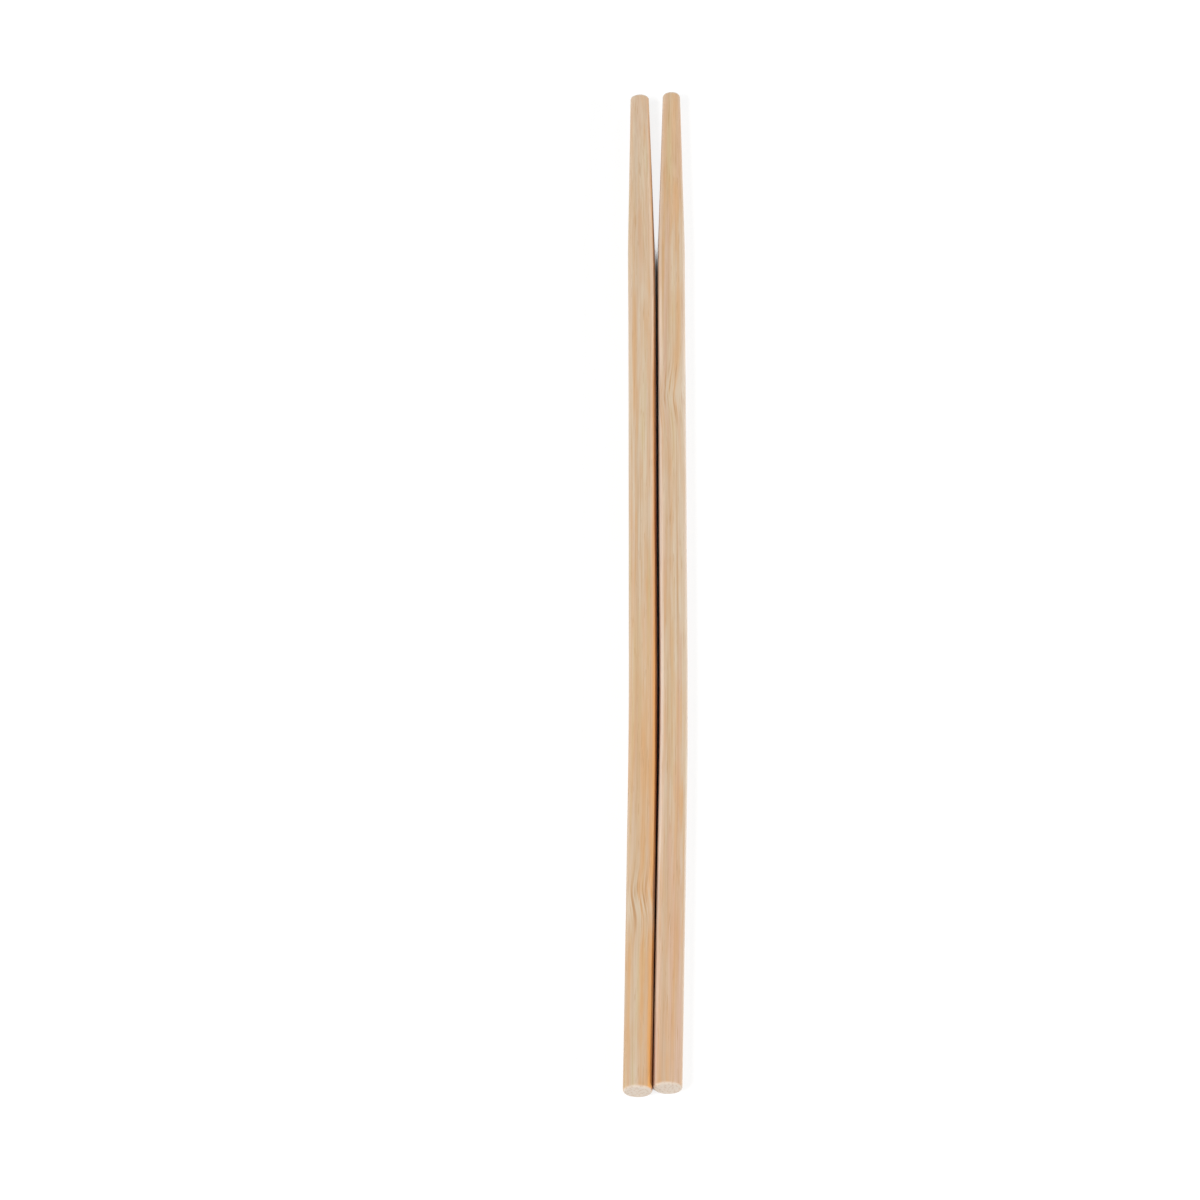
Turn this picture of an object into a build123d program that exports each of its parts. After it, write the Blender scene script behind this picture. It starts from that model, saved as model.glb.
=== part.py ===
# A pair of disposable bamboo chopsticks lying side by side on a table, in millimetres.
# Each stick is one piece of bamboo: a round shank, ground to a plain taper at the eating end.
# +Y runs from the handle ends to the tips, +X to the right of someone behind the handles,
# +Z is up, z = 0 is the table, and the origin is under the middle of the pair.

import os
from math import radians, tan

from build123d import *

# One stick
stick_length = 200.0
shank_diameter = 5.0
left_tip_diameter = 3.45  # the tips are ground by eye, so they differ a little
right_tip_diameter = 3.25
taper_length = 38.0  # from the tip to where the shank starts to narrow
shoulder_ease = 4.0  # the taper's start is rounded over this far each side of its corner
handle_edge_radius = 0.5  # eased rim of the flat handle end
tip_edge_radius = 0.25  # eased rim of the flat tip

# How the bamboo has bowed: the handle run leans left, and the tapered run leans outwards
handle_run = 68.0  # from the handle end to the middle of the handle bend
handle_sweep = 1.25  # how far the bow carries the handle ends to the left
handle_bend_half = 14.0  # half the length of the handle bend
shoulder_run = 8.0  # from the middle of the front bend to the start of the taper
shoulder_bend_half = 6.0  # half the length of the front bend

# How the two sticks lie
handle_gap = 0.04  # clear space between the sticks at their handle ends
belly_gap = 0.35  # clear space between them along the middle run
tip_gap = 2.55  # clear space between the two tips
stagger = 0.6  # the right stick lies this much further along

shank_radius = shank_diameter / 2
centre_shift = handle_sweep / 2 - (belly_gap - handle_gap) / 4  # centres the bowed pair over the origin


def across(side, diameter, gap):
    """X of a stick's axis where sticks of that diameter lie that far apart."""
    return centre_shift + side * (diameter + gap) / 2


def bend_radius(before, corner, after, half_length):
    """Radius of the arc that rounds a corner of the axis over half_length each side."""
    turn = (corner - before).get_angle(after - corner)
    return half_length / tan(radians(turn) / 2)


os.makedirs("parts", exist_ok=True)

for name, side, tip_diameter, further_along in (
    ("left_chopstick", -1, left_tip_diameter, 0.0),
    ("right_chopstick", 1, right_tip_diameter, stagger),
):
    handle_y = further_along - (stick_length + stagger) / 2
    tip_y = handle_y + stick_length
    handle_x = across(side, shank_diameter, handle_gap) - handle_sweep
    belly_x = across(side, shank_diameter, belly_gap)
    tip_x = across(side, tip_diameter, tip_gap)

    # The axis runs through four points, at the height where the shank lies on the table
    handle_end = Vector(handle_x, handle_y, shank_radius)
    handle_bend = Vector(belly_x, handle_y + handle_run, shank_radius)
    front_bend = Vector(belly_x, tip_y - taper_length - shoulder_run, shank_radius)
    tip = Vector(tip_x, tip_y, shank_radius)
    front_direction = (tip - front_bend).normalized()
    taper_start = tip - front_direction * taper_length
    bend_radii = [
        bend_radius(handle_end, handle_bend, front_bend, handle_bend_half),
        bend_radius(handle_bend, front_bend, tip, shoulder_bend_half),
    ]

    # The taper is a cone, met by a curve that is tangent to the shank and to the cone
    tip_radius = tip_diameter / 2
    taper_slope = (shank_radius - tip_radius) / (taper_length - shoulder_ease)
    shoulder_start = (0, shank_radius)
    cone_start = (2 * shoulder_ease, shank_radius - shoulder_ease * taper_slope)

    with BuildPart() as stick:
        # Round shank, swept along the bowed axis up to the taper
        with BuildLine():
            FilletPolyline(handle_end, handle_bend, front_bend, taper_start, radius=bend_radii)
        with BuildSketch(Plane(origin=handle_end, z_dir=handle_bend - handle_end)):
            Circle(shank_radius)
        sweep()

        # Tapered eating end, turned about the straight front run of the axis
        with BuildSketch(Plane(origin=taper_start, x_dir=front_direction, z_dir=(0, 0, 1))):
            with BuildLine():
                Bezier(shoulder_start, (shoulder_ease, shank_radius), cone_start)
                Polyline(cone_start, (taper_length, tip_radius), (taper_length, 0), (0, 0), shoulder_start)
            make_face()
        revolve(axis=Axis(taper_start, front_direction))

        # Sanded rims of the two flat ends
        fillet(stick.faces().sort_by(Axis.Y)[0].edges(), handle_edge_radius)
        fillet(stick.faces().sort_by(Axis.Y)[-1].edges(), tip_edge_radius)

    stick.part.label = name
    export_step(stick.part, f"parts/{name}.step")

    end_face = stick.faces().sort_by(Axis.Y)[0]
    print(name, "volume", round(stick.part.volume, 1), "box", stick.part.bounding_box())
    print("  handle end face at", end_face.center(), "facing", end_face.normal_at())
    print("  bend radii", [round(radius) for radius in bend_radii])
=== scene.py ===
"""A pair of plain bamboo chopsticks on a pale table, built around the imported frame, in metres."""

import logging
from dataclasses import dataclass
from enum import Enum
from math import cos, exp, hypot, inf, pi, radians, sin, tan

import bmesh
import bpy
from mathutils import Matrix, Vector, noise


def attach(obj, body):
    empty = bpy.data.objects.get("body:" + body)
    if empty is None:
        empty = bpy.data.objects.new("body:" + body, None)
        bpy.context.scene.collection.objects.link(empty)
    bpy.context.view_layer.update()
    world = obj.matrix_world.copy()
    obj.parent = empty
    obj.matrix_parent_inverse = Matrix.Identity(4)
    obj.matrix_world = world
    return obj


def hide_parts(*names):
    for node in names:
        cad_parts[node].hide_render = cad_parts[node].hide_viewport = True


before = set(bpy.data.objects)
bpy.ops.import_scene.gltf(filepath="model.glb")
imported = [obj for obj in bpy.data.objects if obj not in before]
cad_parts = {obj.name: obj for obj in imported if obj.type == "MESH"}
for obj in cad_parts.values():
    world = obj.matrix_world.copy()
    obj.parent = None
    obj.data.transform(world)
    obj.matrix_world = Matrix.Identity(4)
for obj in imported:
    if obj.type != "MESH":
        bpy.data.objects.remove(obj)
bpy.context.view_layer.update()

MM = 0.001
GRAIN = "grain"  # attribute: a point's place in the stick before it bowed, in millimetres

Link = bpy.types.Node | bpy.types.NodeSocket

log = logging.getLogger("chopsticks")


def linear(hex_colour: str) -> tuple[float, float, float, float]:
    """Turns an sRGB hex colour to linear.

    Args:
        hex_colour: Colour such as "#d5ba98".

    Returns:
        Linear red, green and blue, with an alpha of 1.
    """
    channels = [int(hex_colour[i : i + 2], 16) / 255 for i in (1, 3, 5)]
    return (*(c / 12.92 if c <= 0.04045 else ((c + 0.055) / 1.055) ** 2.4 for c in channels), 1.0)


def add_node(
    tree: bpy.types.NodeTree, kind: str, inputs: dict[str | int, object] | None = None, **settings: object
) -> bpy.types.Node:
    """Adds a node with its settings and links.

    Args:
        tree: Node tree that gets the node.
        kind: Blender's name for the kind of node.
        inputs: Input's name or number, to a value to set, a socket to link, or a node whose result is linked.
        settings: Properties of the node itself.

    Returns:
        The new node.
    """
    node = tree.nodes.new(kind)
    for name, value in settings.items():
        setattr(node, name, value)
    for key, value in (inputs or {}).items():
        named = [node.inputs[key]] if isinstance(key, int) else [s for s in node.inputs if s.name == key]
        socket = next(s for s in named if s.enabled)
        if isinstance(value, bpy.types.Node):
            value = next(s for s in value.outputs if s.enabled)
        if isinstance(value, bpy.types.NodeSocket):
            tree.links.new(value, socket)
        else:
            socket.default_value = value
    return node


def eased(distance: float, half_length: float) -> float:
    """A ramp that is 0 before a corner and rises one for one after it, rounded across the corner.

    Args:
        distance: How far past the corner.
        half_length: How far the rounding reaches on each side of the corner.

    Returns:
        The height of the ramp.
    """
    if distance <= -half_length:
        return 0.0
    if distance >= half_length:
        return distance
    return (distance + half_length) ** 2 / (4 * half_length)


class Side(Enum):
    """Which stick of the pair, as a sign along X."""

    LEFT = -1
    RIGHT = 1


class Tone(Enum):
    """Colours of freshly sanded bamboo, and of the light and shade painted on it, as sRGB hex values."""

    PAINTED_HIGHLIGHT = "#f2e8da"  # painted highlight: a pale cream strip on a flank
    PALE = "#d6c2a8"  # soft wood between the fibres
    STRAW = "#d3b594"  # most of a stick
    HONEY = "#d5a878"  # where the fibres lie close
    PAINTED_GLOW = "#f0ac56"  # painted glow: warm bounced light on a flank above the gap
    PAINTED_GAP_SHADE = "#9a4a15"  # painted shade: rust-brown on the flanks down in the gap between the sticks
    ROSE = "#d4ad95"  # a pinkish vein
    REED = "#d0bf93"  # a greenish vein
    FIBRE = "#b98b5c"  # a bundle of fibres, cut along
    SAWN = "#dccdbd"  # end grain


@dataclass(frozen=True)
class Knot:
    """A node of the bamboo, ground flush, where the fibres swerve. Sizes are in millimetres."""

    station: float  # from the handle end to its middle
    half_length: float
    bow: float  # how far the fibres swerve aside and back
    lean: float  # how far they slant across

    def share(self, station: float) -> float:
        """How much of the knot there is at a station: 1 in its middle, 0 far from it."""
        return exp(-(((station - self.station) / self.half_length) ** 2))

    def swerve(self, station: float) -> float:
        """How far round the stick the fibres have moved at a station."""
        away = (station - self.station) / self.half_length
        return (self.bow + self.lean * away) * self.share(station)


@dataclass(frozen=True)
class Streak:
    """One streak that stands out along the fibres; some streaks are painted light and shade. Sizes are in
    millimetres.
    """

    tone: Tone
    share: float  # how strong it is in its middle
    girth: float  # from the stick's top line, round to the right
    station: float  # from the handle end to its middle
    half_width: float
    half_length: float


@dataclass(frozen=True)
class Mark:
    """A tone that shows where lines along the fibres are strong enough, or weak enough."""

    tone: Tone
    start: float  # strength of the lines, from 0 to 1, at which it starts to show
    full: float  # strength of the lines at which it shows in full
    share: float  # how strong it is there


@dataclass(frozen=True)
class Lines:
    """Soft lines along the fibres, and the marks that they leave. Sizes are in millimetres."""

    width: float
    length: float
    marks: tuple[Mark, ...] = ()


@dataclass(frozen=True)
class Relief:
    """A shallow unevenness of the surface. Sizes are in millimetres."""

    depth: float  # from its highest places to its middle height
    width: float  # of a hollow, round the stick
    length: float  # of a hollow, along the stick

    def wave(self, fibre: Vector) -> float:
        """Height at a place among the fibres, from -1 to 1."""
        return noise.noise(Vector((fibre.x / self.width, fibre.y / self.length, fibre.z / self.width)))

    def below(self, fibre: Vector) -> float:
        """How far a place among the fibres lies below the highest places."""
        return self.depth * (1 + self.wave(fibre))


Layer = tuple[Link, Tone]


@dataclass(frozen=True)
class SandedBamboo:
    """Sanded bare bamboo: satin, pale straw, with straight fibre bundles that show as soft streaks on
    the sides and as small dots on the sawn ends. Sizes are in millimetres."""

    name: str
    knot: Knot
    streaks: tuple[Streak, ...]
    warmth_at_handle: float  # 0 is pale and 1 is honey
    warmth_at_tip: float
    rosy: float  # how strong its pinkish veins are
    reedy: float  # how strong its greenish veins are
    shift: float  # moves the pattern, so that no two sticks match
    warmth_of_straw: float = 0.5
    drifts: tuple[tuple[Lines, float], ...] = (  # each with how much paler or warmer its lines are
        (Lines(2.2, 90.0), 0.10),
        (Lines(0.75, 28.0), 0.20),
        (Lines(0.42, 9.0), 0.28),
        (Lines(0.4, 3.5), 0.16),
    )
    drift_reach: tuple[float, float] = (0.34, 0.66)  # strength of the lines where palest and warmest
    frays: Lines = Lines(0.3, 12.0)  # at the edges of the streaks
    fray_reach: float = 1.2  # how far they reach, in halves of a streak's size
    streak_edge: tuple[float, float] = (1.6, 0.6)  # frayed distance where it is gone and where full
    bundle_spacing: float = 0.62
    bundle_edge: tuple[float, float] = (0.34, 0.16)  # from its middle, in spacings: its rim and its core
    fine: Lines = Lines(0.17, 16.0, (Mark(Tone.FIBRE, 0.45, 0.75, 0.22),))  # strands of fibres
    # A single fibre is about 0.015 mm wide, too fine to show, so it is drawn as wide as it needs to show
    hairs: Lines = Lines(0.06, 9.0, (Mark(Tone.FIBRE, 0.54, 0.62, 0.25),))
    vessels: Lines = Lines(0.10, 2.5, (Mark(Tone.FIBRE, 0.64, 0.68, 0.40),))  # short and cut open
    cores: Lines = Lines(0.5, 12.0, (Mark(Tone.FIBRE, 0.42, 0.62, 0.20),))  # of the bundles
    dashes: Lines = Lines(0.15, 4.0, (Mark(Tone.PALE, 0.56, 0.46, 0.8), Mark(Tone.FIBRE, 0.56, 0.64, 0.8)))
    sawn_from_end: tuple[float, float] = (0.5, 0.05)  # where end grain starts and where it is full
    sawn_dots: float = 0.34  # how strong the bundles are on a sawn end
    roughness: tuple[float, float] = (0.50, 0.64)  # between the strands and on them
    roughness_reach: tuple[float, float] = (0.3, 0.7)  # strength of the strands at those two
    strand_height: float = 0.02
    strand_bump: float = 0.5  # how much of that height catches the light

    @property
    def veins(self) -> Lines:
        """Its faint pinkish and greenish veins."""
        rose = Mark(Tone.ROSE, 0.54, 0.72, self.rosy)
        return Lines(0.5, 14.0, (rose, Mark(Tone.REED, 0.46, 0.28, self.reedy)))

    def material(self, length: float, radius: float) -> bpy.types.Material:
        """Makes the finish for a stick.

        Args:
            length: The stick's length.
            radius: Its shank's radius.

        Returns:
            The material.
        """
        material = bpy.data.materials.new(f"sanded_bare_{self.name}")
        material.use_nodes = True
        tree = material.node_tree
        tree.nodes.clear()

        grain = add_node(tree, "ShaderNodeAttribute", attribute_name=GRAIN).outputs["Vector"]
        station = add_node(tree, "ShaderNodeSeparateXYZ", {0: grain}).outputs["Y"]
        fibres, at_knot = self._swerve(tree, grain, station, radius)
        bundles = self._bundles(tree, fibres)
        colour = linear(Tone.PALE.value)
        for share, tone in (
            *self._warm(tree, fibres, station, length),
            *self._marks(tree, fibres, self.veins),
            *self._streaks(tree, fibres, radius),
            *self._marks(tree, fibres, self.fine),
            *self._marks(tree, fibres, self.hairs),
            *self._marks(tree, fibres, self.vessels),
            *self._marks(tree, fibres, self.cores, bundles),
            *self._marks(tree, fibres, self.dashes, at_knot),
            *self._end_grain(tree, station, bundles, length),
        ):
            colour = add_node(
                tree,
                "ShaderNodeMix",
                {"Factor": share, "A": colour, "B": linear(tone.value)},
                data_type="RGBA",
            )

        # Sanding leaves bare bamboo satin: a wide soft sheen, broken up by the duller strands of fibre
        fine = self._drawn(tree, fibres, self.fine)
        smooth, dull = self.roughness
        start, full = self.roughness_reach
        roughness = add_node(
            tree,
            "ShaderNodeMapRange",
            {"Value": fine, "From Min": start, "From Max": full, "To Min": smooth, "To Max": dull},
        )
        bump = add_node(
            tree,
            "ShaderNodeBump",
            {"Height": fine, "Strength": self.strand_bump, "Distance": self.strand_height * MM},
        )
        shader = add_node(
            tree,
            "ShaderNodeBsdfPrincipled",
            {"Base Color": colour, "Roughness": roughness, "IOR": 1.5, "Normal": bump},
        )
        add_node(tree, "ShaderNodeOutputMaterial", {"Surface": shader})
        return material

    def _drawn(self, tree: bpy.types.NodeTree, fibres: Link, lines: Lines) -> bpy.types.Node:
        """Adds soft lines along the fibres.

        Args:
            tree: The material's nodes.
            fibres: Place among the fibres.
            lines: The kind of lines.

        Returns:
            Their strength from 0 to 1, mostly near 0.5.
        """
        placed = add_node(
            tree,
            "ShaderNodeMapping",
            {
                "Vector": fibres,
                "Scale": (0.5 / lines.width, 0.5 / lines.length, 0.5 / lines.width),  # a line and a space
                "Location": (self.shift, self.shift, 0.0),
            },
        )
        return add_node(tree, "ShaderNodeTexNoise", {"Vector": placed, "Scale": 1.0, "Detail": 2.0})

    def _marks(
        self, tree: bpy.types.NodeTree, fibres: Link, lines: Lines, where: Link | float = 1.0
    ) -> list[Layer]:
        """Adds the marks that lines along the fibres leave.

        Args:
            tree: The material's nodes.
            fibres: Place among the fibres.
            lines: The kind of lines.
            where: 1 where the marks show in full and 0 where they don't show.

        Returns:
            The layers of colour.
        """
        drawn = self._drawn(tree, fibres, lines)
        layers = []
        for mark in lines.marks:
            share = add_node(
                tree,
                "ShaderNodeMapRange",
                {"Value": drawn, "From Min": mark.start, "From Max": mark.full, "To Max": mark.share},
            )
            share = add_node(tree, "ShaderNodeMath", {0: share, 1: where}, operation="MULTIPLY")
            layers.append((share, mark.tone))
        return layers

    def _bundles(self, tree: bpy.types.NodeTree, fibres: Link) -> bpy.types.Node:
        """Adds the fibre bundles that run through the stick.

        Args:
            tree: The material's nodes.
            fibres: Place among the fibres.

        Returns:
            A value that is 1 in a bundle's core and 0 between bundles.
        """
        placed = add_node(
            tree,
            "ShaderNodeMapping",
            {
                "Vector": fibres,
                "Scale": (1 / self.bundle_spacing, 1.0, 1 / self.bundle_spacing),
                "Rotation": (-pi / 2, 0.0, 0.0),
                "Location": (self.shift, self.shift, 0.0),
            },
        )
        cells = add_node(
            tree, "ShaderNodeTexVoronoi", {"Vector": placed, "Scale": 1.0}, voronoi_dimensions="2D"
        )
        rim, core = self.bundle_edge
        return add_node(
            tree,
            "ShaderNodeMapRange",
            {"Value": cells, "From Min": rim, "From Max": core},
            interpolation_type="SMOOTHSTEP",
        )

    def _swerve(
        self, tree: bpy.types.NodeTree, grain: Link, station: Link, radius: float
    ) -> tuple[bpy.types.Node, bpy.types.Node]:
        """Turns the grain about the stick's axis at the knot, as the fibres do there.

        Args:
            tree: The material's nodes.
            grain: Place in the straight stick.
            station: Distance from the handle end.
            radius: The shank's radius.

        Returns:
            The place among the fibres, and a value that is 1 at the knot and 0 away from it.
        """
        knot = self.knot
        away = add_node(tree, "ShaderNodeMath", {0: station, 1: knot.station}, operation="SUBTRACT")
        away = add_node(tree, "ShaderNodeMath", {0: away, 1: knot.half_length}, operation="DIVIDE")
        squared = add_node(tree, "ShaderNodeMath", {0: away, 1: away}, operation="MULTIPLY")
        fall = add_node(tree, "ShaderNodeMath", {0: squared, 1: -1.0}, operation="MULTIPLY")
        at_knot = add_node(tree, "ShaderNodeMath", {0: fall}, operation="EXPONENT")
        aside = add_node(
            tree, "ShaderNodeMath", {0: away, 1: knot.lean, 2: knot.bow}, operation="MULTIPLY_ADD"
        )
        aside = add_node(tree, "ShaderNodeMath", {0: aside, 1: at_knot}, operation="MULTIPLY")
        angle = add_node(tree, "ShaderNodeMath", {0: aside, 1: radius}, operation="DIVIDE")
        fibres = add_node(
            tree, "ShaderNodeVectorRotate", {"Vector": grain, "Angle": angle}, rotation_type="Y_AXIS"
        )
        return fibres, at_knot

    def _warm(self, tree: bpy.types.NodeTree, fibres: Link, station: Link, length: float) -> list[Layer]:
        """Adds the tones that the bamboo drifts through, from pale to honey.

        Args:
            tree: The material's nodes.
            fibres: Place among the fibres.
            station: Distance from the handle end.
            length: The stick's length.

        Returns:
            The layers of colour.
        """
        warmth = add_node(
            tree,
            "ShaderNodeMapRange",
            {
                "Value": station,
                "From Max": length,
                "To Min": self.warmth_at_handle,
                "To Max": self.warmth_at_tip,
            },
        )
        palest, warmest = self.drift_reach
        for lines, share in self.drifts:
            drawn = self._drawn(tree, fibres, lines)
            drift = add_node(
                tree,
                "ShaderNodeMapRange",
                {"Value": drawn, "From Min": palest, "From Max": warmest, "To Min": -share, "To Max": share},
            )
            warmth = add_node(tree, "ShaderNodeMath", {0: warmth, 1: drift}, operation="ADD")
        straw = add_node(tree, "ShaderNodeMapRange", {"Value": warmth, "From Max": self.warmth_of_straw})
        honey = add_node(tree, "ShaderNodeMapRange", {"Value": warmth, "From Min": self.warmth_of_straw})
        return [(straw, Tone.STRAW), (honey, Tone.HONEY)]

    def _streaks(self, tree: bpy.types.NodeTree, fibres: Link, radius: float) -> list[Layer]:
        """Adds the stick's streaks, its own tones and painted light and shade beside the gap, with edges
        frayed along the fibres.

        Args:
            tree: The material's nodes.
            fibres: Place among the fibres.
            radius: The shank's radius.

        Returns:
            The layers of colour.
        """
        along = add_node(tree, "ShaderNodeSeparateXYZ", {0: fibres}).outputs
        angle = add_node(tree, "ShaderNodeMath", {0: along["X"], 1: along["Z"]}, operation="ARCTAN2")
        girth = add_node(tree, "ShaderNodeMath", {0: angle, 1: radius}, operation="MULTIPLY")
        unrolled = add_node(tree, "ShaderNodeCombineXYZ", {"X": girth, "Y": along["Y"]})
        frays = self._drawn(tree, fibres, self.frays)
        gone, full = self.streak_edge
        layers = []
        for streak in self.streaks:
            near = add_node(
                tree,
                "ShaderNodeMapping",
                {
                    "Vector": unrolled,
                    "Location": (streak.girth, streak.station, 0.0),
                    "Scale": (streak.half_width, streak.half_length, 1.0),
                },
                vector_type="TEXTURE",
            )
            off = add_node(tree, "ShaderNodeVectorMath", {0: near}, operation="LENGTH")
            frayed = add_node(
                tree, "ShaderNodeMath", {0: frays, 1: self.fray_reach, 2: off}, operation="MULTIPLY_ADD"
            )
            share = add_node(
                tree,
                "ShaderNodeMapRange",
                {"Value": frayed, "From Min": gone, "From Max": full, "To Max": streak.share},
                interpolation_type="SMOOTHSTEP",
            )
            layers.append((share, streak.tone))
        return layers

    def _end_grain(
        self, tree: bpy.types.NodeTree, station: Link, bundles: Link, length: float
    ) -> list[Layer]:
        """Adds the pale end grain of the two sawn ends, dotted with the cut bundles.

        Args:
            tree: The material's nodes.
            station: Distance from the handle end.
            bundles: 1 in a bundle's core and 0 between bundles.
            length: The stick's length.

        Returns:
            The layers of colour.
        """
        from_middle = add_node(tree, "ShaderNodeMath", {0: station, 1: length / 2}, operation="SUBTRACT")
        from_middle = add_node(tree, "ShaderNodeMath", {0: from_middle}, operation="ABSOLUTE")
        start, full = (length / 2 - from_end for from_end in self.sawn_from_end)
        end = add_node(
            tree,
            "ShaderNodeMapRange",
            {"Value": from_middle, "From Min": start, "From Max": full},
            interpolation_type="SMOOTHSTEP",
        )
        dots = add_node(tree, "ShaderNodeMath", {0: bundles, 1: end}, operation="MULTIPLY")
        dots = add_node(tree, "ShaderNodeMath", {0: dots, 1: self.sawn_dots}, operation="MULTIPLY")
        return [(end, Tone.SAWN), (dots, Tone.FIBRE)]


@dataclass
class Chopstick:
    """One stick: a round bowed shank, ground to a taper, with two flat sanded ends. In millimetres."""

    side: Side
    finish: SandedBamboo
    handle: tuple[float, float]  # X and Y of the axis at the handle end
    belly_x: float  # X of the axis along the middle run
    tip_x: float  # X of the axis at the tip
    tip_diameter: float
    stick_length: float = 200.0
    shank_diameter: float = 5.0
    taper_length: float = 38.0
    shoulder_ease: float = 4.0
    handle_edge_radius: float = 0.5
    tip_edge_radius: float = 0.25
    handle_run: float = 68.0
    handle_bend_half: float = 14.0
    shoulder_run: float = 8.0
    shoulder_bend_half: float = 6.0
    facets: int = 96  # round the stick
    rings: int = 720  # along the stick
    end_rings: int = 14  # across half of a flat end
    hub_rings: int = 4  # width left for the eased rim and for the face in the middle, in rings
    rim_rings: int = 6  # across an eased rim
    sanding: Relief = Relief(depth=0.012, width=5.0, length=30.0)
    strands: Relief = Relief(depth=0.012, width=0.45, length=40.0)
    knot_ridges: Relief = Relief(depth=0.010, width=0.6, length=4.0)
    rim_wear: Relief = Relief(depth=0.060, width=0.9, length=inf)
    rim_wear_reach: float = 0.5  # along the stick, from an end
    relief_shift: float = 10.0  # for each 1 that the bamboo's pattern is moved

    @property
    def node(self) -> str:
        """Name of the CAD node that this stick stands for."""
        return f"{self.side.name.lower()}_chopstick"

    def radius(self, station: float) -> float:
        """Radius of the stick at a distance from its handle end.

        Args:
            station: The distance.

        Returns:
            The radius.
        """
        shank, tip = self.shank_diameter / 2, self.tip_diameter / 2
        slope = (shank - tip) / (self.taper_length - self.shoulder_ease)
        corner = self.stick_length - self.taper_length + self.shoulder_ease
        return shank - slope * eased(station - corner, self.shoulder_ease)

    def axis_x(self, station: float) -> float:
        """X of the bowed axis at a distance from the handle end.

        Args:
            station: The distance.

        Returns:
            X in the frame.
        """
        front_run = self.taper_length + self.shoulder_run
        handle_lean = (self.handle[0] - self.belly_x) / self.handle_run
        front_lean = (self.tip_x - self.belly_x) / front_run
        behind = eased(self.handle_run - station, self.handle_bend_half)
        ahead = eased(station - self.stick_length + front_run, self.shoulder_bend_half)
        return self.belly_x + handle_lean * behind + front_lean * ahead

    def placed(self, grain: Vector) -> Vector:
        """Carries a point of the straight stick to its place on the bowed one.

        Args:
            grain: The point before the stick bowed, from the middle of its handle end.

        Returns:
            The point in the frame, in metres.
        """
        step = 0.5
        slope = (self.axis_x(grain.y + step) - self.axis_x(grain.y - step)) / (2 * step)
        across = Vector((1.0, -slope, 0.0)) / hypot(1.0, slope)
        centre = Vector((self.axis_x(grain.y), self.handle[1] + grain.y, self.shank_diameter / 2))
        return (centre + across * grain.x + Vector((0.0, 0.0, grain.z))) * MM

    def depth(self, grain: Vector) -> float:
        """Depth of the surface below the plain round stick, which it never stands proud of.

        Args:
            grain: A point of the plain round stick, before it bowed.

        Returns:
            The depth of the sanding, the fibre lines, the knot's short ridges and the worn rims.
        """
        knot = self.finish.knot
        turn = Matrix.Rotation(2 * knot.swerve(grain.y) / self.shank_diameter, 3, "Y")
        fibre = turn @ grain + Vector((self.relief_shift * self.finish.shift, 0.0, 0.0))
        from_end = max(min(grain.y, self.stick_length - grain.y), 0.0)
        wear = self.rim_wear.depth * max(self.rim_wear.wave(fibre), 0.0)
        return (
            self.sanding.below(fibre)
            + self.strands.below(fibre)
            + self.knot_ridges.below(fibre) * knot.share(grain.y)
            + wear * exp(-from_end / self.rim_wear_reach)
        )

    def build(self) -> bpy.types.Object:
        """Models the stick and puts it in place of its CAD node.

        Returns:
            The stick's object.
        """
        mesh = bmesh.new()
        self._blank(mesh)
        self._swell(mesh)
        self._bow(mesh)
        bmesh.ops.recalc_face_normals(mesh, faces=mesh.faces)
        for face in mesh.faces:
            face.smooth = True
        data = bpy.data.meshes.new(self.node)
        mesh.to_mesh(data)
        mesh.free()
        data.materials.append(self.finish.material(self.stick_length, self.shank_diameter / 2))
        stick = bpy.data.objects.new(f"bamboo_{self.node}", data)
        bpy.context.scene.collection.objects.link(stick)
        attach(stick, "root")
        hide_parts(self.node)
        return stick

    def _blank(self, mesh: bmesh.types.BMesh) -> None:
        """Makes a straight cone with eased rims, cut fine enough to shape.

        Args:
            mesh: Mesh that gets the cone.
        """
        halfway = Matrix.Translation((0, self.stick_length / 2, 0))
        bmesh.ops.create_cone(
            mesh,
            cap_ends=True,
            segments=self.facets,
            radius1=self.shank_diameter / 2,
            radius2=self.tip_diameter / 2,
            depth=self.stick_length,
            matrix=halfway @ Matrix.Rotation(-pi / 2, 4, "X"),
        )
        for station, ease in ((0.0, self.handle_edge_radius), (self.stick_length, self.tip_edge_radius)):
            rim = [e for e in mesh.edges if all(abs(v.co.y - station) < ease / 2 for v in e.verts)]
            bmesh.ops.bevel(
                mesh,
                geom=rim,
                offset=ease,
                segments=self.rim_rings,
                profile=0.5,
                affect="EDGES",
                material=-1,
            )
        for end in [f for f in mesh.faces if len(f.verts) == self.facets]:
            ring_width = self.radius(end.calc_center_median().y) / (self.end_rings + self.hub_rings)
            for _ in range(self.end_rings):
                bmesh.ops.inset_region(mesh, faces=[end], thickness=ring_width, use_even_offset=True)
        lengthwise = [e for e in mesh.edges if e.calc_length() > self.stick_length / 2]
        bmesh.ops.subdivide_edges(mesh, edges=lengthwise, cuts=self.rings, use_grid_fill=True)

    def _swell(self, mesh: bmesh.types.BMesh) -> None:
        """Turns the plain cone to the stick's own outline: a straight shank, then the taper.

        Args:
            mesh: The straight cone.
        """
        shank, tip = self.shank_diameter / 2, self.tip_diameter / 2
        for vert in mesh.verts:
            station = min(max(vert.co.y, 0.0), self.stick_length)
            cone = shank + (tip - shank) * station / self.stick_length
            swell = self.radius(station) / cone
            vert.co.x *= swell
            vert.co.z *= swell

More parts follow.
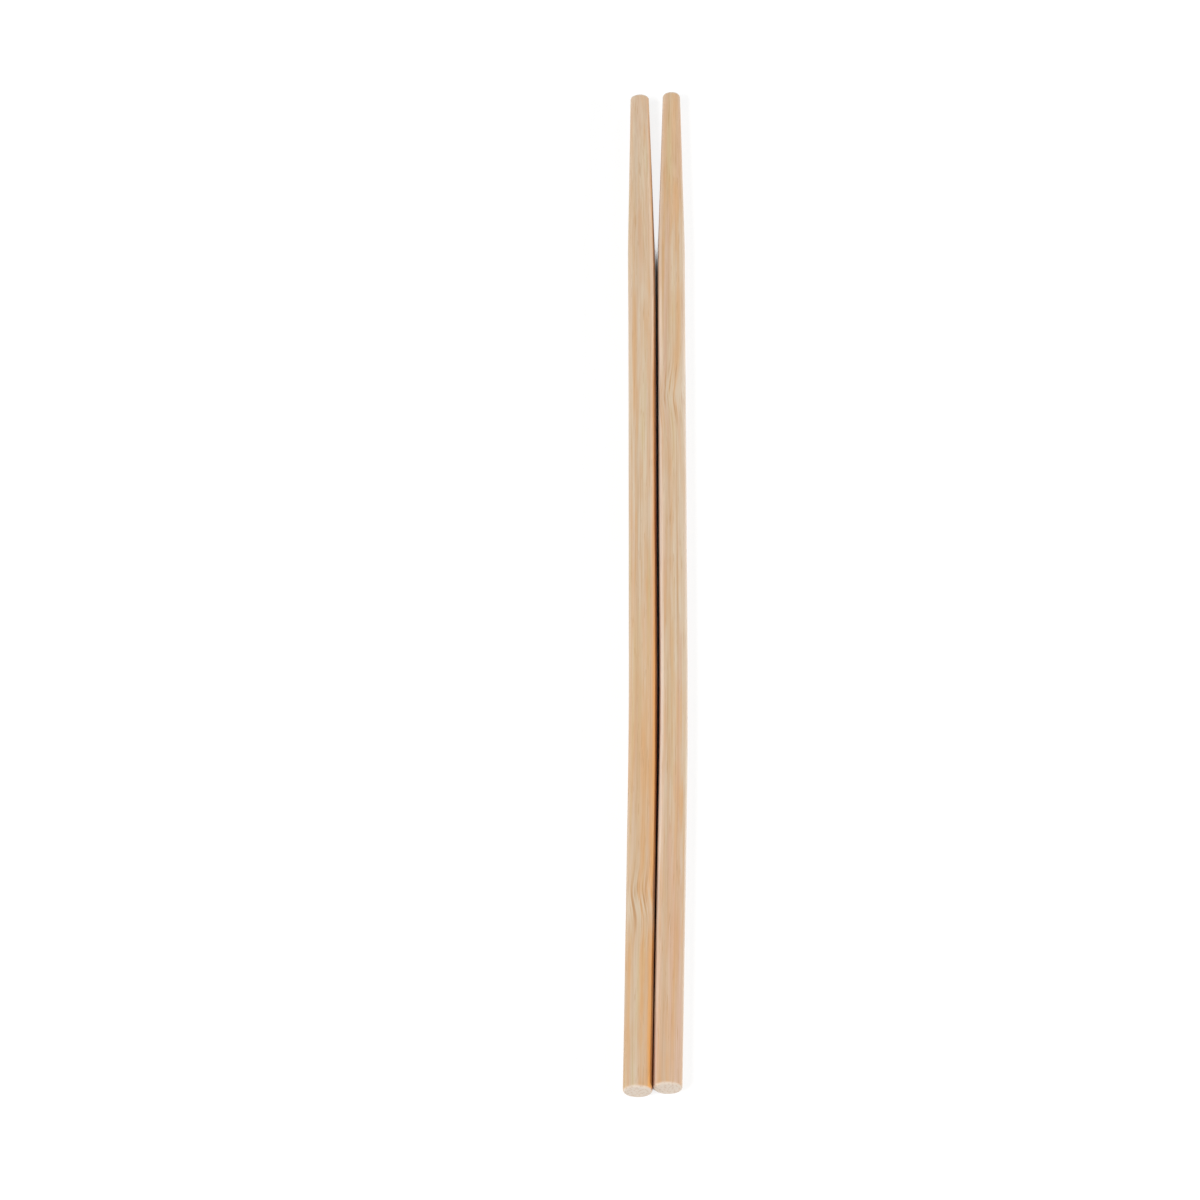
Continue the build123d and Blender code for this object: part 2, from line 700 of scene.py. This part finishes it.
    def _bow(self, mesh: bmesh.types.BMesh) -> None:
        """Keeps each point's place in the straight stick, then sinks the surface and bows the stick.

        Args:
            mesh: The straight stick.
        """
        grain_layer = mesh.verts.layers.float_vector.new(GRAIN)
        mesh.normal_update()
        for vert in mesh.verts:
            vert[grain_layer] = vert.co
        for vert in mesh.verts:
            grain = Vector(vert[grain_layer])
            vert.co = self.placed(grain - vert.normal * self.depth(grain))


@dataclass
class ChopstickPair:
    """Two sticks side by side, touching at their handle ends and open at their tips. In millimetres."""

    handle_sweep: float = 1.25
    handle_gap: float = 0.04
    belly_gap: float = 0.35
    left_tip_diameter: float = 3.45
    right_tip_diameter: float = 3.25
    tip_gap: float = 2.55
    stagger: float = 0.6

    def stick(self, side: Side, finish: SandedBamboo) -> Chopstick:
        """Lays one stick where it lies in the pair.

        Args:
            side: Which stick.
            finish: Its bamboo.

        Returns:
            The stick, not yet modelled.
        """
        middle_x = self.handle_sweep / 2 - (self.belly_gap - self.handle_gap) / 4
        shank, length = Chopstick.shank_diameter, Chopstick.stick_length
        tip = self.right_tip_diameter if side is Side.RIGHT else self.left_tip_diameter
        further_along = self.stagger if side is Side.RIGHT else 0.0
        handle_x = middle_x + side.value * (shank + self.handle_gap) / 2 - self.handle_sweep
        return Chopstick(
            side=side,
            finish=finish,
            handle=(handle_x, further_along - (length + self.stagger) / 2),
            belly_x=middle_x + side.value * (shank + self.belly_gap) / 2,
            tip_x=middle_x + side.value * (tip + self.tip_gap) / 2,
            tip_diameter=tip,
        )


@dataclass(frozen=True)
class Lamp:
    """A soft round lamp, aimed at the sticks. Angles are in degrees."""

    name: str
    across: float  # from straight overhead, towards the right
    toward: float  # from straight overhead, towards the handle ends
    spread: float  # how wide it looks from the sticks
    level: float  # what it adds to a white surface that lies flat
    distance: float = 4.0  # metres

    def hang(self) -> None:
        """Hangs the lamp, as bright as its level asks."""
        away = Vector((tan(radians(self.across)), -tan(radians(self.toward)), 1.0)).normalized()
        lamp = bpy.data.lights.new(self.name, "AREA")
        lamp.shape = "DISK"
        lamp.size = 2 * self.distance * tan(radians(self.spread / 2))
        lamp.energy = self.level * (pi * self.distance) ** 2 / away.z
        hung = bpy.data.objects.new(self.name, lamp)
        hung.location = away * self.distance
        hung.rotation_euler = away.to_track_quat("Z", "Y").to_euler()
        bpy.context.scene.collection.objects.link(hung)


@dataclass
class Studio:
    """A white table under soft light from both sides, seen from above the handle ends."""

    lamps: tuple[Lamp, ...] = (
        Lamp("high_left", across=-30, toward=30, spread=10, level=0.42),
        Lamp("low_left", across=-57, toward=25, spread=10, level=0.15),
        Lamp("low_right", across=67, toward=25, spread=7, level=0.21),
        Lamp("back_right", across=45, toward=-55, spread=12, level=0.05),
    )
    floor_half_size: float = 3.0  # metres
    floor_cells: int = 3  # along each of its sides
    floor_white: float = 0.95  # how much light the table throws back
    floor_seen: float = 0.17  # how much of that shows in the table's white, so that it keeps the shadow
    floor_glow: float = 0.865  # how much of its white by the sticks doesn't come from the lamps
    floor_crevice_mm: float = 6.0  # how near a stick has to be to close the table in
    floor_crevice_samples: int = 64
    floor_closed: float = 0.12  # share of open sky at which the table stops glowing
    floor_open: float = 0.20  # share of open sky at which it glows in full
    opening_mm: tuple[float, float] = (64.0, 80.0)  # along the table, where the gap opens to the tips
    near_mm: tuple[float, float] = (14.0, 108.0)  # half the size of the cell of the table round the sticks
    sky_level: float = 0.18
    aim_mm: tuple[float, float, float] = (-9.67, -6.53, 2.5)
    camera_tilt: float = 28.5  # degrees from straight down
    camera_yaw: float = 0.1  # degrees
    camera_distance: float = 0.8882  # metres
    focal_pixels: float = 5040.0
    frame_pixels: float = 1200.0

    def build(self) -> None:
        """Makes the table, the light and the camera."""
        self._floor()
        self._sky()
        for lamp in self.lamps:
            lamp.hang()
        self._camera()
        bpy.context.scene.view_settings.view_transform = "Standard"

    def _seen(self, tree: bpy.types.NodeTree) -> bpy.types.Node:
        """Adds a value that tells what is seen from what only throws light.

        Args:
            tree: The nodes of a material or of the world.

        Returns:
            A value that is 1 for what the camera sees, straight, mirrored or through glass.
        """
        path = add_node(tree, "ShaderNodeLightPath").outputs
        seen = path["Is Camera Ray"]
        for ray in ("Is Glossy Ray", "Is Transmission Ray"):
            seen = add_node(tree, "ShaderNodeMath", {0: seen, 1: path[ray]}, operation="MAXIMUM")
        return seen

    def _floor(self) -> None:
        """Lays the table, which keeps the sticks' shadow."""
        mesh = bmesh.new()
        bmesh.ops.create_grid(
            mesh, x_segments=self.floor_cells, y_segments=self.floor_cells, size=self.floor_half_size
        )
        for axis, near in enumerate(self.near_mm):
            for vert in mesh.verts:
                if abs(vert.co[axis]) < self.floor_half_size / 2:
                    vert.co[axis] *= self.floor_cells * near * MM / self.floor_half_size
        for face in mesh.faces:
            face.material_index = int(face.calc_center_median().length < MM)
        data = bpy.data.meshes.new("table")
        mesh.to_mesh(data)
        mesh.free()
        data.materials.append(self._card("matte_white_card", by_sticks=False))
        data.materials.append(self._card("matte_white_card_by_sticks", by_sticks=True))
        floor = bpy.data.objects.new("table", data)
        bpy.context.scene.collection.objects.link(floor)

    def _card(self, name: str, by_sticks: bool) -> bpy.types.Material:
        """Makes matte white card: a clean white to the eye, with a faint shadow.

        Args:
            name: The material's name.
            by_sticks: Whether sticks lie on it; there its glow fades to painted shade in the crevices under
                and between them.

        Returns:
            The material.
        """
        material = bpy.data.materials.new(name)
        material.use_nodes = True
        tree = material.node_tree
        tree.nodes.clear()
        seen = self._seen(tree)
        white = add_node(
            tree, "ShaderNodeMapRange", {"Value": seen, "To Min": self.floor_white, "To Max": self.floor_seen}
        )
        glow = seen
        if by_sticks:
            # Painted shade: the glow fades where the sticks close the table in, and stays on past the opening
            # towards the tips
            crevice = add_node(
                tree,
                "ShaderNodeAmbientOcclusion",
                {"Distance": self.floor_crevice_mm * MM},
                samples=self.floor_crevice_samples,
            )
            place = add_node(tree, "ShaderNodeTexCoord").outputs["Object"]
            along = add_node(tree, "ShaderNodeSeparateXYZ", {0: place}).outputs["Y"]
            start, full = self.opening_mm
            opening = add_node(
                tree,
                "ShaderNodeMapRange",
                {"Value": along, "From Min": start * MM, "From Max": full * MM, "To Max": self.floor_open},
            )
            sky = add_node(tree, "ShaderNodeMath", {0: crevice.outputs["AO"], 1: opening}, operation="ADD")
            openness = add_node(
                tree,
                "ShaderNodeMapRange",
                {
                    "Value": sky,
                    "From Min": self.floor_closed,
                    "From Max": self.floor_open,
                    "To Max": self.floor_glow,
                },
                interpolation_type="SMOOTHSTEP",
            )
            glow = add_node(tree, "ShaderNodeMath", {0: seen, 1: openness}, operation="MULTIPLY")
        lit = add_node(tree, "ShaderNodeBsdfDiffuse", {"Color": white})
        glowing = add_node(tree, "ShaderNodeEmission", {"Strength": glow})
        shader = add_node(tree, "ShaderNodeAddShader", {0: lit, 1: glowing})
        add_node(tree, "ShaderNodeOutputMaterial", {"Surface": shader})
        return material

    def _sky(self) -> None:
        """Surrounds the table with even white light."""
        world = bpy.data.worlds.new("white_room")
        world.use_nodes = True
        tree = world.node_tree
        tree.nodes.clear()
        level = add_node(
            tree, "ShaderNodeMapRange", {"Value": self._seen(tree), "To Min": self.sky_level, "To Max": 1.0}
        )
        sky = add_node(tree, "ShaderNodeBackground", {"Color": (1.0, 1.0, 1.0, 1.0), "Strength": level})
        add_node(tree, "ShaderNodeOutputWorld", {"Surface": sky})
        bpy.context.scene.world = world

    def _camera(self) -> None:
        """Sets the camera at the photograph's angle and distance."""
        lens = bpy.data.cameras.new("camera")
        lens.sensor_width = 36.0
        lens.lens = lens.sensor_width * self.focal_pixels / self.frame_pixels
        camera = bpy.data.objects.new("camera", lens)
        tilt, yaw = radians(self.camera_tilt), radians(self.camera_yaw)
        back = Vector((sin(yaw) * sin(tilt), -cos(yaw) * sin(tilt), cos(tilt)))
        camera.location = Vector(self.aim_mm) * MM + back * self.camera_distance
        camera.rotation_euler = (tilt, 0.0, yaw)
        bpy.context.scene.collection.objects.link(camera)
        bpy.context.scene.camera = camera


LEFT_BAMBOO = SandedBamboo(
    name="left_bamboo",
    knot=Knot(station=34.0, half_length=4.6, bow=0.2, lean=0.8),
    streaks=(
        Streak(Tone.HONEY, 0.5, girth=0.0, station=68.0, half_width=4.5, half_length=38.0),
        Streak(Tone.HONEY, 0.8, girth=1.9, station=6.0, half_width=1.2, half_length=44.0),
        # Painted highlight: a pale strip on the right flank, above the gap
        Streak(Tone.PAINTED_HIGHLIGHT, 0.6, girth=2.2, station=150.0, half_width=0.9, half_length=90.0),
        # Painted glow: warm bounced light on the right flank, above the gap
        Streak(Tone.PAINTED_GLOW, 1.0, girth=2.6, station=30.0, half_width=1.2, half_length=230.0),
        # Painted shade: rust-brown down the right flank, in the gap between the sticks
        Streak(Tone.PAINTED_GAP_SHADE, 1.0, girth=3.7, station=95.0, half_width=1.9, half_length=150.0),
        Streak(Tone.PAINTED_GAP_SHADE, 1.0, girth=4.4, station=0.0, half_width=2.2, half_length=60.0),
        Streak(Tone.HONEY, 0.8, girth=-1.6, station=142.0, half_width=0.8, half_length=20.0),
        Streak(Tone.HONEY, 0.5, girth=-2.3, station=86.0, half_width=0.8, half_length=40.0),
        Streak(Tone.PALE, 0.8, girth=-0.7, station=20.0, half_width=1.1, half_length=18.0),
        Streak(Tone.HONEY, 0.7, girth=-2.1, station=14.0, half_width=0.5, half_length=22.0),
        Streak(Tone.FIBRE, 0.6, girth=-1.1, station=32.0, half_width=0.2, half_length=7.0),
        Streak(Tone.ROSE, 0.2, girth=-0.5, station=195.0, half_width=3.0, half_length=16.0),
        Streak(Tone.HONEY, 0.6, girth=1.2, station=191.0, half_width=0.8, half_length=6.0),
    ),
    warmth_at_handle=0.50,
    warmth_at_tip=0.28,
    rosy=0.3,
    reedy=0.65,
    shift=3.1,
)
RIGHT_BAMBOO = SandedBamboo(
    name="right_bamboo",
    knot=Knot(station=134.0, half_length=5.0, bow=0.7, lean=0.0),
    streaks=(
        Streak(Tone.ROSE, 0.3, girth=0.0, station=14.0, half_width=5.0, half_length=50.0),
        # Painted highlight: a pale strip on the left flank, beside the gap
        Streak(Tone.PAINTED_HIGHLIGHT, 1.0, girth=-2.7, station=80.0, half_width=1.3, half_length=190.0),
        # Painted shade: rust-brown down the left flank, in the gap between the sticks
        Streak(Tone.PAINTED_GAP_SHADE, 1.0, girth=-4.6, station=80.0, half_width=2.3, half_length=190.0),
        Streak(Tone.PAINTED_GAP_SHADE, 1.0, girth=-4.4, station=0.0, half_width=2.6, half_length=50.0),
        # Painted highlight: a pale strip on the outer right flank
        Streak(Tone.PAINTED_HIGHLIGHT, 0.7, girth=3.3, station=90.0, half_width=1.3, half_length=190.0),
        Streak(Tone.HONEY, 0.5, girth=0.0, station=189.0, half_width=5.0, half_length=22.0),
        Streak(Tone.REED, 0.5, girth=-0.5, station=186.0, half_width=1.0, half_length=16.0),
        Streak(Tone.ROSE, 0.4, girth=-0.9, station=160.0, half_width=1.1, half_length=18.0),
        Streak(Tone.HONEY, 0.8, girth=1.3, station=152.0, half_width=0.8, half_length=20.0),
        Streak(Tone.FIBRE, 0.5, girth=0.75, station=98.0, half_width=0.28, half_length=44.0),
        Streak(Tone.PALE, 0.7, girth=1.9, station=98.0, half_width=0.9, half_length=60.0),
        Streak(Tone.HONEY, 0.9, girth=1.75, station=52.0, half_width=0.5, half_length=7.0),
        Streak(Tone.FIBRE, 0.8, girth=1.0, station=138.6, half_width=0.24, half_length=3.0),
        Streak(Tone.FIBRE, 0.7, girth=-0.8, station=135.5, half_width=0.24, half_length=5.0),
        Streak(Tone.FIBRE, 0.6, girth=-0.35, station=139.0, half_width=0.22, half_length=3.0),
        Streak(Tone.FIBRE, 0.6, girth=0.95, station=130.0, half_width=0.24, half_length=4.0),
        Streak(Tone.ROSE, 0.6, girth=1.8, station=8.0, half_width=1.8, half_length=28.0),
        Streak(Tone.HONEY, 0.7, girth=0.8, station=16.0, half_width=0.5, half_length=20.0),
    ),
    warmth_at_handle=0.50,
    warmth_at_tip=0.36,
    rosy=0.6,
    reedy=0.3,
    shift=17.7,
)


def main() -> None:
    """Builds the pair and the studio, and reports each piece."""
    logging.basicConfig(level=logging.INFO, format="%(name)s: %(message)s")
    pair = ChopstickPair()
    for side, finish in ((Side.LEFT, LEFT_BAMBOO), (Side.RIGHT, RIGHT_BAMBOO)):
        stick = pair.stick(side, finish).build()
        log.info("%s with %d faces", stick.name, len(stick.data.polygons))
    Studio().build()


if __name__ == "__main__":
    main()
